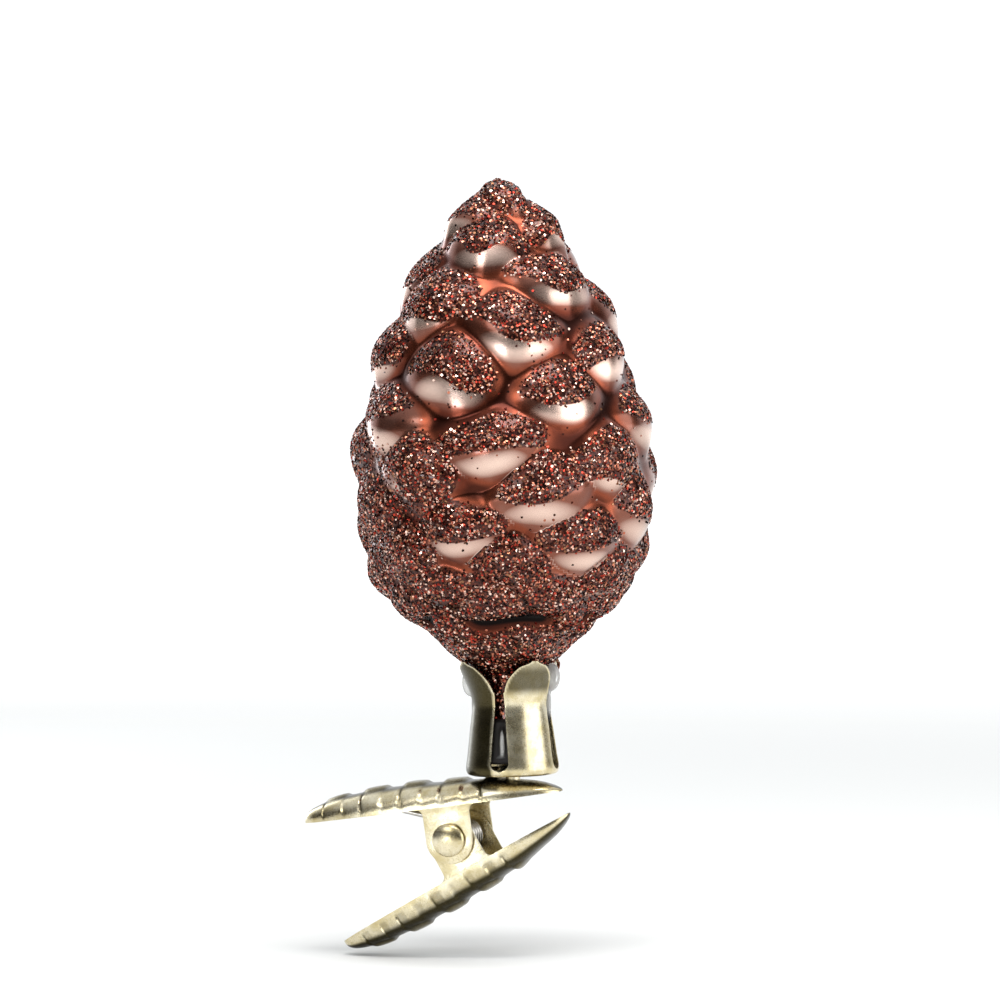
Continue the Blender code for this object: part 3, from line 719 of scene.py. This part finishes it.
# %% The shape of a jaw
HANDLE_U, NOSE_U, RIM_V = -26.2 * MM, 18.6 * MM, 5.5 * MM
JAW_STRAIGHT, CREST, CREST_TAPER = 5.5 * MM, 4.1 * MM, 12.0
SHEET, EAR_SHEET = 0.5 * MM, 0.4 * MM
JAW_HALF_WIDTH = 6.0 * MM
NEST = 0.8 * MM  # how much narrower the lower jaw is, so that its ears fit between the upper's
UPPER_SLOPE, LOWER_SLOPE = math.radians(8.2), math.radians(29.9)
LOBE_PITCH, LOBE_HEIGHT = 7.0 * MM, 0.35 * MM
CREASE_DEPTH, CREASE_WIDTH, KNOB_HEIGHT = 0.22 * MM, 0.18 * MM, 0.45 * MM
LOBE_ZERO, KNOB_LONG, KNOB_WIDE, TAPER_FROM = 1.0 * MM, 2.3 * MM, 0.1, -6.0 * MM
STAMPED_FROM, STAMPED_TO = (-24.0, -21.0), (6.5, 9.0)  # mm along the jaw, where the pattern fades
JAW_STATIONS, JAW_ACROSS, END_BUNCHING = 236, 40, 0.75  # the stations lie closest at the two ends
OUTLINE_POWERS, CREST_POWERS, SECTION_POWER = (2.4, 1.8), (2.6, 1.7), 2.6
UPPER_FACET, LOWER_FACET = 0.2 * MM, 0.42 * MM
# painted shade on the jaws: how high up the side it starts, and how much it darkens the recesses
UPPER_DARK, LOWER_DARK = (0.7, 0.2), (0.4, 0.35)  # how high the dark starts, how dark the recesses are


def leaf(u, handle_power, nose_power):
    """From 1 beside the ears to 0 at the jaw's two ends, along a superellipse to each."""
    past = np.maximum(np.abs(u) - JAW_STRAIGHT, 0.0)
    reach = np.where(u > 0.0, NOSE_U, -HANDLE_U) - JAW_STRAIGHT
    power = np.where(u > 0.0, nose_power, handle_power)
    return np.maximum(1.0 - np.minimum(past / reach, 1.0) ** power, 0.0) ** (1.0 / power)


def jaw_shell(half_width, facet_height, dark_from, recess_dark):
    """The jaw's outer surface as a grid, in its own frame, u along it, y across it and v outwards,
    and how much painted shade and dark reflection darken the brass at each point."""
    s = np.linspace(0.0, 1.0, JAW_STATIONS + 1)
    u = HANDLE_U + (NOSE_U - HANDLE_U) * (s - END_BUNCHING * np.sin(2 * np.pi * s) / (2 * np.pi))
    u, turn = np.meshgrid(u, np.linspace(0.0, math.pi, JAW_ACROSS + 1), indexing="ij")
    width = half_width * leaf(u, *OUTLINE_POWERS)
    ends = leaf(u, *CREST_POWERS)
    crest = CREST * ends * (1.0 - CREST_TAPER * np.maximum(u - TAPER_FROM, 0.0))
    over = np.clip(np.sin(turn), 0.0, 1.0)  # 0 at the rims, 1 along the back
    phase = (u - LOBE_ZERO) / LOBE_PITCH
    offset = (phase - np.round(phase)) * LOBE_PITCH
    knob = 1.0 - smoothstep(0.6, 1.0, np.hypot(offset / KNOB_LONG, (1.0 - over) / KNOB_WIDE))
    lobe = 0.4 * LOBE_HEIGHT * np.cos(math.pi * phase) ** 2 * over ** 3
    step = (phase * 2.0 + 0.5) % 1.0
    facet = facet_height * (step - 0.5) * smoothstep(0.0, 0.06, step)
    facet *= plateau(over, (0.06, 0.4), (0.82, 0.97))
    crease = CREASE_DEPTH * np.exp(-(((phase + 0.5) % 1.0 - 0.25) * LOBE_PITCH / CREASE_WIDTH) ** 2)
    crease *= plateau(over, (0.05, 0.3), (0.8, 0.95))
    stamped = plateau(u / MM, STAMPED_FROM, STAMPED_TO)
    facet, crease, knob = facet * stamped, crease * stamped, knob * stamped
    raised = (lobe + KNOB_HEIGHT * knob * over ** 3 + facet - crease) * ends
    side = np.sign(np.cos(turn)) * np.abs(np.cos(turn)) ** (2 / SECTION_POWER)
    rise = over ** (2 / SECTION_POWER)
    across = side * (width + raised * (1.0 - over) * 1.4)
    # a number from 0 to 1 for each recess, from the last digits of a large sine
    chance = np.sin(np.floor(phase * 2.0 + 0.5) * 12.9898) * 43758.5453 % 1.0
    wide = 0.32 + 0.24 * chance
    recess = plateau(step, (0.02, 0.08), (wide - 0.08, wide)) * stamped
    recess *= 0.4 + 0.6 * chance
    recess *= plateau(over, (0.08, 0.14), (0.5, 0.56))
    # painted shade and dark reflection: darker up the side from dark_from on, in the creases and in the
    # recesses, a little lighter on the knobs
    painted_shade = smoothstep(dark_from, dark_from + 0.25, over) - 0.3 * knob + 0.9 * crease / CREASE_DEPTH
    painted_shade = np.clip(painted_shade + recess_dark * recess, 0.0, 1.0)
    return np.stack([u, across, RIM_V + (crest + raised) * rise], axis=2), painted_shade


print("jaw length, mm:", round((NOSE_U - HANDLE_U) / MM, 1))


# %% [markdown]
# Sheet is modelled as a single skin that a modifier thickens. These helpers join a piece's bodies,
# weld close points and shade all smooth but the sharp edges.

# %% Helpers for sheet
def moved(mesh, matrix):
    mesh.transform(matrix)
    return mesh


def joined(name, *meshes):
    """One mesh of several bodies that lie in or on each other, with the painted shade kept on their points.
    """
    verts, faces, painted_shade = [], [], []
    for mesh in meshes:
        faces += [[v + len(verts) for v in face.vertices] for face in mesh.polygons]
        verts += [vert.co.copy() for vert in mesh.vertices]
        values = np.zeros(len(mesh.vertices), dtype=np.float32)
        if "painted_shade" in mesh.attributes:
            mesh.attributes["painted_shade"].data.foreach_get("value", values)
        painted_shade.append(values)
    made = bpy.data.meshes.new(name)
    made.from_pydata(verts, [], faces)
    set_attribute(made, "painted_shade", np.concatenate(painted_shade))
    return made


def welded(mesh, distance):
    """The mesh with its close points merged, and with faces that look outwards at its highest place."""
    bm = bmesh.new()
    bm.from_mesh(mesh)
    bmesh.ops.remove_doubles(bm, verts=bm.verts, dist=distance)
    bmesh.ops.recalc_face_normals(bm, faces=bm.faces)
    outer = max(bm.faces, key=lambda face: face.calc_center_median().z)
    if outer.normal.z < 0.0:
        bmesh.ops.reverse_faces(bm, faces=bm.faces)
    bm.to_mesh(mesh)
    bm.free()
    return mesh


def smooth(mesh, angle=35.0):
    mesh.shade_smooth()
    mesh.set_sharp_from_angle(angle=math.radians(angle))
    return mesh


print("sheet, mm:", SHEET / MM)

# %% [markdown]
# An ear is a flat plate, round about the pivot, whose top is sunk in the jaw's side. It is a filled
# flat curve with a hole, a little thickness and a small bevel, so that its edge catches the light.

# %% The ears
PIN_RADIUS, PIN_ROOM = 1.0 * MM, 0.3 * MM
EAR_RADIUS, EAR_FILLET = 4.0 * MM, 1.2 * MM


def arc(centre, radius, start, end, steps):
    """Points on a circle, from one angle to another, in degrees."""
    angles = [math.radians(start + (end - start) * i / steps) for i in range(steps + 1)]
    return [(centre[0] + radius * math.cos(a), centre[1] + radius * math.sin(a)) for a in angles]


def add_line(curve, places):
    """Adds a line through places to a curve."""
    line = curve.splines.new("POLY")
    line.points.add(len(places) - 1)
    for point, place in zip(line.points, places):
        point.co = (*place, 1.0)
    return line


def plate_mesh(name, outlines, thickness, bevel):
    """A flat plate in the XY plane with a bevelled edge. Outlines after the first are holes."""
    curve = bpy.data.curves.new(name, "CURVE")
    curve.dimensions = "2D"
    curve.fill_mode = "BOTH"
    curve.extrude = thickness / 2 - bevel
    curve.bevel_depth = bevel
    curve.bevel_resolution = 2
    curve.offset = -bevel
    for points in outlines:
        add_line(curve, [(x, y, 0.0) for x, y in points]).use_cyclic_u = True
    return welded(baked(put_in_scene(name, curve)), 0.002 * MM)


def ear_mesh():
    root, fillet_v, top = EAR_RADIUS + EAR_FILLET, RIM_V - EAR_FILLET, RIM_V + 0.7 * MM
    edge = [(-root, top)]
    edge += arc((-root, fillet_v), EAR_FILLET, 90.0, 0.0, 10)
    edge += arc((0.0, 0.0), EAR_RADIUS, 180.0, 360.0, 56)
    edge += arc((root, fillet_v), EAR_FILLET, 180.0, 90.0, 10)
    edge.append((root, top))
    hole = arc((0.0, 0.0), PIN_RADIUS + PIN_ROOM, 0.0, 360.0 * 39 / 40, 39)
    return plate_mesh("ear", [edge, hole], EAR_SHEET, 0.06 * MM)


def make_jaw(name, half_width, slope, turned_over, facet_height, dark_from, recess_dark):
    """A jaw with its two ears, in place. dark_from is how high up its side the painted shade starts, and
    recess_dark is how much more painted shade its recesses get."""
    grid, painted_shade = jaw_shell(half_width, facet_height, dark_from, recess_dark)
    shell = mesh_from_grid(name, grid, wrap=False)
    set_attribute(shell, "painted_shade", painted_shade.ravel())
    ob = put_in_scene(name, welded(shell, 0.004 * MM))
    solidify = ob.modifiers.new("sheet", "SOLIDIFY")
    solidify.thickness, solidify.offset = SHEET, -1.0
    meshes = [baked(ob)]
    for side in (1.0, -1.0):
        stand = Matrix.Rotation(math.radians(90.0), 4, "X")
        shift = Matrix.Translation((0.0, side * (half_width - SHEET / 2), 0.0))
        meshes.append(moved(ear_mesh(), shift @ stand))
    jaw = joined(name, *meshes)
    turn = Matrix.Rotation(-slope, 4, "Y") @ Matrix.Rotation(math.pi if turned_over else 0.0, 4, "X")
    return smooth(moved(jaw, Matrix.Translation(PIVOT) @ turn), 40.0)


print("ear radius, mm:", EAR_RADIUS / MM)

# %% [markdown]
# The brass is pale and softly brushed by tumbling. A very fine grain breaks up its reflections. Shade
# and dark reflections are painted on it where an attribute on its points says, and its highlights
# stay almost white.

# %% The brass
# the last tone is the dark olive of the painted shade and dark reflections
BRASS_TONES, PAINTED_SHADE_TONE = (rgb("c1b07f"), rgb("f3ebd3")), rgb("37311c")


def brass_finish(name, grain=1.0):
    finish = Finish(name, Metallic=1.0)
    cloud = finish.noise(3.0 * MM, 4.0, 0.6)
    fine = finish.noise(0.16 * MM, 3.0, 0.7)
    tint = (cloud * 0.6 + fine * 0.4).between(0.3, 0.75)
    # painted shade: the attribute, broken up by the grain, darkens the brass
    painted_shade = (finish.attribute("painted_shade") + (fine - 0.5) * 0.3).clipped()
    colour = finish.mix(painted_shade, finish.mix(tint, *BRASS_TONES), PAINTED_SHADE_TONE)
    finish.set(Base_Color=colour, Roughness=0.17 + 0.1 * cloud + 0.1 * fine)
    finish.bump(fine, 0.02 * MM, 0.35 * grain)
    return finish


brass = brass_finish("champagne_brass")
upper = make_jaw("stamped_upper_jaw", JAW_HALF_WIDTH, UPPER_SLOPE, False, UPPER_FACET, *UPPER_DARK)
lower = make_jaw("stamped_lower_jaw", JAW_HALF_WIDTH - NEST, LOWER_SLOPE, True, LOWER_FACET, *LOWER_DARK)
add_piece("stamped_upper_jaw", upper, "holder", "upper_jaw", slot="champagne_brass", finish=brass)
add_piece("stamped_lower_jaw", lower, "lower_jaw", "lower_jaw", slot="champagne_brass", finish=brass)
print("jaw triangles:", triangles(upper), "and", triangles(lower))


# %% [markdown]
# The rivet through the ears was spun over into a dome at each end. It is a profile turned round the
# pivot. The cup's wall and the plug of glue are turned by the same function.

# %% Turned pieces
def turned(name, profile, sides):
    """A mesh turned round Z from (radius, height) points, from the top down the outer side."""
    bm = bmesh.new()
    verts = [bm.verts.new((radius, 0.0, height)) for radius, height in profile]
    for high, low in zip(verts, verts[1:]):
        bm.edges.new((high, low))
    ob = put_in_scene(name, mesh_of(name, bm))
    screw = ob.modifiers.new("turn", "SCREW")
    screw.steps = screw.render_steps = sides
    screw.use_merge_vertices = True
    screw.merge_threshold = 0.002 * MM
    return baked(ob)


HEAD_RADIUS, HEAD_HEIGHT, HEAD_EDGE, HEAD_CHAMFER = 2.75 * MM, 1.2 * MM, 0.22 * MM, 0.05 * MM
face_y = JAW_HALF_WIDTH - SHEET / 2 + EAR_SHEET / 2 + PIN_ROOM
dome = [(HEAD_RADIUS * math.sin(a), face_y + HEAD_EDGE + (HEAD_HEIGHT - HEAD_EDGE) * math.cos(a))
        for a in np.linspace(0.0, math.pi / 2, 22)]
dome += [(HEAD_RADIUS, face_y + HEAD_CHAMFER), (HEAD_RADIUS - HEAD_CHAMFER, face_y)]
pin = dome + [(PIN_RADIUS, face_y), (PIN_RADIUS, -face_y)] + [(r, -h) for r, h in reversed(dome)]
rivet_mesh = turned("spun_rivet", pin, 72)
rivet_mesh.transform(Matrix.Translation(PIVOT) @ Matrix.Rotation(math.radians(90.0), 4, "X"))
add_piece("spun_rivet", smooth(rivet_mesh), "holder", "pivot_rivet", slot="champagne_brass", finish=brass)
print("rivet triangles:", triangles(rivet_mesh))

# %% [markdown]
# The cup's wall gets its thickness, and then two crossing slots are cut, which open out at the top,
# so that four prongs with round tips remain.

# %% The cup
CUP_PROFILE = [(8.75, 18.9), (8.25, 17.5), (7.45, 15.6), (6.75, 13.8), (6.38, 12.0), (6.5, 10.2),
               (6.85, 7.6), (7.34, 3.6), (7.65, 1.2), (7.35, 0.3), (6.6, 0.0)]  # radius, height, in mm
SLIT_EDGE = [(1.0, 1.2), (1.5, 1.9), (1.5, 3.0), (0.8, 12.6), (1.0, 14.0), (1.35, 15.0), (1.9, 16.0),
             (2.8, 17.0), (4.0, 18.0), (5.7, 18.8), (6.2, 20.5)]  # half width, height, in mm
RIVET_BORE, SLOT_LENGTH, EDGE_BEVEL = 1.5 * MM, 24.0 * MM, 0.19 * MM

wall = [tuple(point) for point in smooth_curve(CUP_PROFILE, 5) * MM] + [(RIVET_BORE, 0.0)]
cup_ob = put_in_scene("pronged_cup", turned("pronged_cup", wall, 144))
solidify = cup_ob.modifiers.new("sheet", "SOLIDIFY")
solidify.thickness, solidify.offset = SHEET, -1.0
edge = [tuple(point) for point in smooth_curve(SLIT_EDGE, 5) * MM]
slot_outline = [(-x, z) for x, z in reversed(edge)] + [(0.0, edge[0][1] - 0.35 * MM)] + edge
cutters = []
for turn in (0.0, math.pi / 2):
    cutter = put_in_scene("slot", plate_mesh("slot", [slot_outline], SLOT_LENGTH, 0.0))
    cutter.data.transform(Matrix.Rotation(turn, 4, "Z") @ Matrix.Rotation(math.pi / 2, 4, "X"))
    cut = cup_ob.modifiers.new("slot", "BOOLEAN")
    cut.operation, cut.object, cut.solver = "DIFFERENCE", cutter, "EXACT"
    cutters.append(cutter)
bevel = cup_ob.modifiers.new("edge", "BEVEL")
bevel.width, bevel.segments, bevel.angle_limit = EDGE_BEVEL, 3, math.radians(50.0)
cup_mesh = baked(cup_ob)
for cutter in cutters:
    bpy.data.objects.remove(cutter)
print("cup triangles:", triangles(cup_mesh))

# %% [markdown]
# The cup's brass has painted shade and dark reflections on the flare of the prongs and on one side,
# but they are kept off the slits' edges, which stay bright as painted highlights. The cup's rivet
# keeps its solid and only gets a finish.

# %% The cup's brass
# the side with painted shade, and how dark the painted shade is on the flare and on that side
SHADED_SIDE = math.radians(-128.0)
FLARE_DARK, SIDE_DARK = 0.85, 0.97


def points_in_mm(mesh):
    """The X, Y and Z of a mesh's points, in mm."""
    places = np.zeros(3 * len(mesh.vertices))
    mesh.vertices.foreach_get("co", places)
    return places.reshape(-1, 3).T / MM


x, y, z = points_in_mm(cup_mesh)
edge_widths, edge_heights = (np.array(edge) / MM).T
# painted shade and dark reflection on the flare and on one side of the cup, kept off the slits' edges so
# that they stay bright as painted highlights
flare = smoothstep(12.8, 14.6, z) * (1.0 - 0.4 * smoothstep(17.0, 18.5, z))
shaded = smoothstep(0.55, 0.85, np.cos(np.arctan2(y, x) - SHADED_SIDE))
from_slit = np.minimum(np.abs(x), np.abs(y)) - np.interp(z, edge_heights, edge_widths)
inner = smoothstep(0.2, 0.5, from_slit)
set_attribute(cup_mesh, "painted_shade", np.maximum(FLARE_DARK * flare, SIDE_DARK * shaded) * inner)
cup_mesh.transform(to_world)
smooth(cup_mesh, 30.0)
add_piece("pronged_cup", cup_mesh, "holder", "holder_cup", slot="champagne_brass", finish=brass)
for slot in frame["nodes"]["cup_rivet"].material_slots:
    slot.material = brass_finish("rivet_brass", 0.5).material
    print("the cup's rivet keeps its mesh and wears", slot.material.name)

# %% [markdown]
# The torsion spring sits on the pin between the ears. One leg leaves its first turn over the top and
# presses on the upper handle, the other leaves its last turn below and presses on the lower one. The
# points of the wire follow a helix round Y, and the legs leave it along tangents. When the clip is
# squeezed each turn twists a little.

# %% The spring
WIRE, COIL_RADIUS, COIL_TURNS, COIL_PITCH = 0.9 * MM, 2.6 * MM, 5, 1.15 * MM
LEG_REACH, LEG_ROOM, COIL_STEPS = -14.0 * MM, 0.72 * MM, 44


def from_jaw(u, v, slope, back_side):
    """A point of a jaw's middle plane, as X and Z from the pivot. back_side is 1 for the upper jaw."""
    return (u * math.cos(slope) - back_side * v * math.sin(slope),
            u * math.sin(slope) + back_side * v * math.cos(slope))


def tangent_angle(point, turn):
    """The angle on the coil's circle where a straight leg to the point leaves it."""
    return math.atan2(point[1], point[0]) + turn * math.acos(COIL_RADIUS / math.hypot(*point))


leg_crest = float(CREST * leaf(np.array(LEG_REACH), *CREST_POWERS))
leg_v = RIM_V + leg_crest - SHEET - WIRE / 2 - LEG_ROOM
upper_end = from_jaw(LEG_REACH, leg_v, UPPER_SLOPE, 1.0)
lower_end = from_jaw(LEG_REACH, leg_v, LOWER_SLOPE, -1.0)
first = tangent_angle(upper_end, -1.0)
sweep_angle = 2 * math.pi * COIL_TURNS + (first - tangent_angle(lower_end, 1.0)) % (2 * math.pi)
coil_width = COIL_PITCH * sweep_angle / (2 * math.pi)
count = math.ceil(sweep_angle / (2 * math.pi) * COIL_STEPS)
wire = [Vector((upper_end[0], -coil_width / 2, upper_end[1]))]
for step in range(count + 1):
    a = first - sweep_angle * step / count
    along_pin = coil_width * (step / count - 0.5)
    wire.append(Vector((COIL_RADIUS * math.cos(a), along_pin, COIL_RADIUS * math.sin(a))))
wire.append(Vector((lower_end[0], coil_width / 2, lower_end[1])))

curve = bpy.data.curves.new("torsion_spring", "CURVE")
curve.dimensions = "3D"
curve.bevel_depth, curve.bevel_resolution, curve.use_fill_caps = WIRE / 2, 5, True
add_line(curve, [place + PIVOT for place in wire])
spring_mesh = smooth(baked(put_in_scene("torsion_spring", curve)), 60.0)
steel = Finish("spring_wire", Metallic=1.0)
drawn = steel.noise(0.25 * MM, 3.0, 0.6)
steel.set(Base_Color=steel.mix(drawn, rgb("a49f98"), rgb("dedad2")), Roughness=0.18 + 0.14 * drawn)
spring = put_in_scene("torsion_spring", spring_mesh)
spring_mesh.materials.append(steel.material)
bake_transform(spring)
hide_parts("spring")
print("spring points:", len(wire), "coil width, mm:", round(coil_width / MM, 2))

# %% [markdown]
# Hot-melt glue fills the foot of the cup and holds the neck. It was squeezed out of two slits, and a
# drip ran down inside a third. Plain shapes are joined by remeshing and then smoothed, which rounds
# their seams as the glue's own skin did.

# %% The glue
MELT_CELL = 0.24 * MM


def egg(place, size):
    """A lump of glue. size is half of each of its measures, in mm."""
    bm = bmesh.new()
    matrix = Matrix.Translation(Vector(place) * MM) @ Matrix.Diagonal((*[s * MM for s in size], 1.0))
    bmesh.ops.create_uvsphere(bm, u_segments=40, v_segments=24, radius=1.0, matrix=matrix)
    return mesh_of("egg", bm)


plug_line = [(0.0, 8.8), (3.25, 8.5), (3.25, 5.65), (4.75, 5.65), (4.75, 9.5), (5.85, 9.0),
             (6.1, 7.4), (6.45, 4.0), (6.7, 2.4), (6.3, 2.1), (0.0, 2.1)]  # radius, height, in mm
bodies = [turned("plug", [(r * MM, h * MM) for r, h in plug_line], 64),
          egg((6.75, 0.1, 16.1), (1.75, 0.95, 2.5)), egg((6.2, 0.0, 12.0), (0.7, 0.5, 4.0)),
          egg((-6.7, 0.1, 15.2), (1.7, 0.85, 2.4)), egg((-6.1, 0.0, 11.5), (0.7, 0.5, 4.0)),
          egg((0.3, -6.3, 5.6), (0.42, 0.5, 2.6))]
glue_ob = put_in_scene("glue", joined("glue", *bodies))
remesh = glue_ob.modifiers.new("melt", "REMESH")
remesh.mode, remesh.voxel_size = "VOXEL", MELT_CELL
settle = glue_ob.modifiers.new("settle", "SMOOTH")
settle.factor, settle.iterations = 0.5, 4
glue_mesh = baked(glue_ob)
x, y, z = points_in_mm(glue_mesh)
drip = smoothstep(-6.5, -6.62, y) * smoothstep(3.0, 3.6, z)
inside = (1.0 - smoothstep(9.0, 11.0, z)) * (1.0 - drip)  # dark, where the cup shades the glue
glue_mesh.transform(to_world)
glue_mesh.shade_smooth()
set_attribute(glue_mesh, "inside", inside)
clear = Finish("clear_glue", IOR=1.46, Transmission_Weight=0.6)
clear.set(Base_Color=clear.mix(clear.attribute("inside"), rgb("f2f1ee"), rgb("140a07")),
          Roughness=0.18 + 0.5 * clear.attribute("inside"))
clear.bump(clear.noise(1.1 * MM, 2.0), 0.12 * MM, 0.4)
add_piece("melted_glue", glue_mesh, "holder", "glue", slot="hot_melt_glue", finish=clear)
print("glue triangles:", triangles(glue_mesh))
